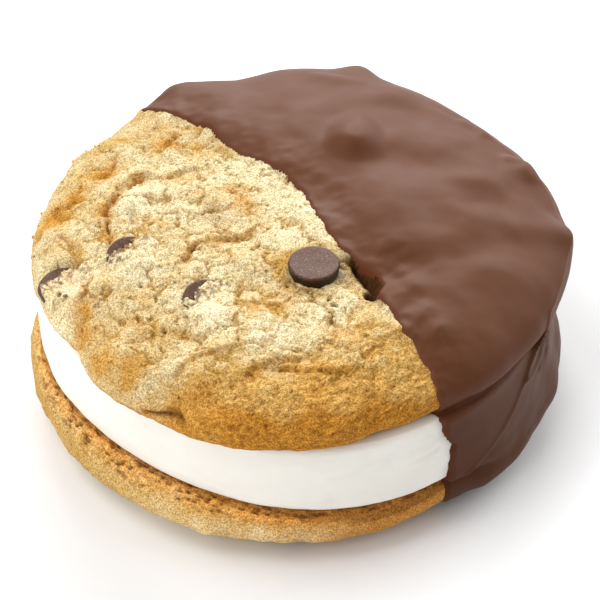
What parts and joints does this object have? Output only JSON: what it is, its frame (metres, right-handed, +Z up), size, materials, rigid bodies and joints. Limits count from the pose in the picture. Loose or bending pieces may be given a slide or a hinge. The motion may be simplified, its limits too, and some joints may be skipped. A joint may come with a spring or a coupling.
{
  "type": "chocolate chip sandwich cookie",
  "caption": "Round yo-yo cookie: two chocolate chip cookies round a white cream filling, with one half dipped in milk chocolate.",
  "frame": {"origin": "middle of the footprint, on the table", "axes": "+Z up through the stack of cookies; the dipped half lies toward +X and +Y"},
  "size_m": [0.0864, 0.089, 0.0358],
  "materials": {
    "crumb": "dry, granular baked dough, browner at the rim",
    "lower_crumb": "dry, porous baked dough",
    "filling": "smooth, soft white cream",
    "chocolate": "set milk chocolate with a soft sheen",
    "chip": "dull dark chocolate"
  },
  "bodies": {
    "root": {"upper_cookie": "crumb", "lower_cookie": "lower_crumb", "filling": "filling", "chocolate_coat": "chocolate", "chip_1": "chip", "chip_2": "chip", "chip_3": "chip", "chip_4": "chip", "under_chip_1": "chip", "under_chip_2": "chip", "under_chip_3": "chip"}
  },
  "joints": []
}
